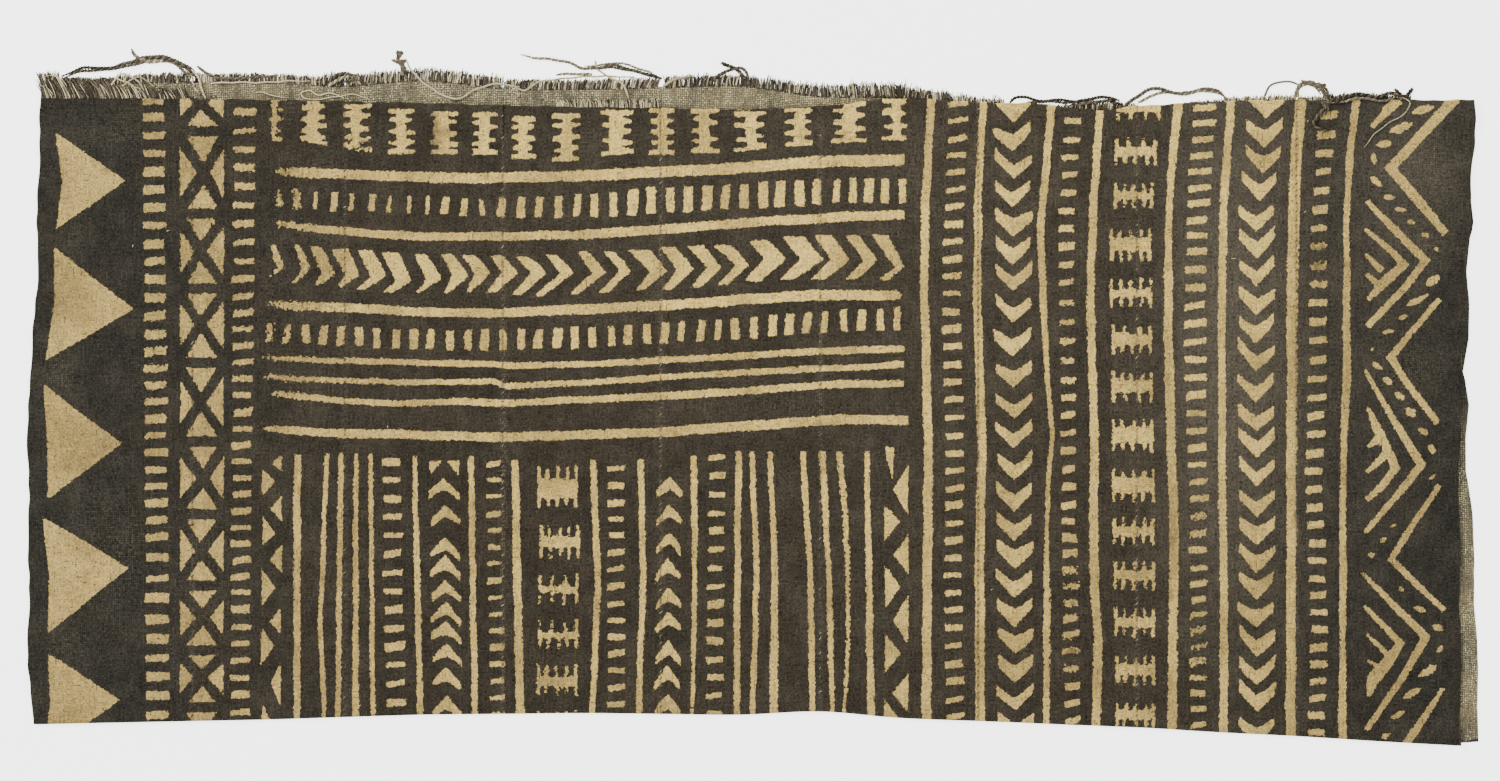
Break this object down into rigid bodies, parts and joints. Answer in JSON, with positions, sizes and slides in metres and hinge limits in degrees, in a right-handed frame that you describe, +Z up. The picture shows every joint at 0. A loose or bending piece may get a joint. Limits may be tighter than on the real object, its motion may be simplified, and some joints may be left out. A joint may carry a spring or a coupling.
{
  "type": "folded mud cloth wrapper",
  "caption": "Handwoven cotton wrapper of narrow sewn strips, painted by hand with a geometric mud-dye pattern, lying folded once, with frayed ends and long loose threads.",
  "frame": {"origin": "middle of the whole cloth's outline, on the surface that it lies on", "axes": "+X across the strips, towards the side where the back layer steps out; +Y from the fold to the frayed ends; +Z up, out of the painted front"},
  "size_m": [0.915, 0.4364, 0.0046],
  "materials": {
    "painted_cotton": "matt, dark brown-grey mud dye painted around a bare tan ground",
    "bare_yarn": "matt handspun cotton, grey-tan, darker where the dye soaked in"
  },
  "bodies": {
    "root": {"strip_1": "painted_cotton", "strip_2": "painted_cotton", "strip_3": "painted_cotton", "strip_4": "painted_cotton", "strip_5": "painted_cotton", "strip_6": "painted_cotton", "strip_7": "painted_cotton", "strip_8": "painted_cotton", "strip_9": "painted_cotton", "fringe_back_1": "bare_yarn", "fringe_back_2": "bare_yarn", "fringe_back_3": "bare_yarn", "fringe_back_4": "bare_yarn", "fringe_back_5": "bare_yarn", "fringe_back_6": "bare_yarn", "fringe_back_7": "bare_yarn", "fringe_back_8": "bare_yarn", "fringe_back_9": "bare_yarn", "fringe_front_1": "bare_yarn", "fringe_front_4": "bare_yarn"}
  },
  "joints": []
}
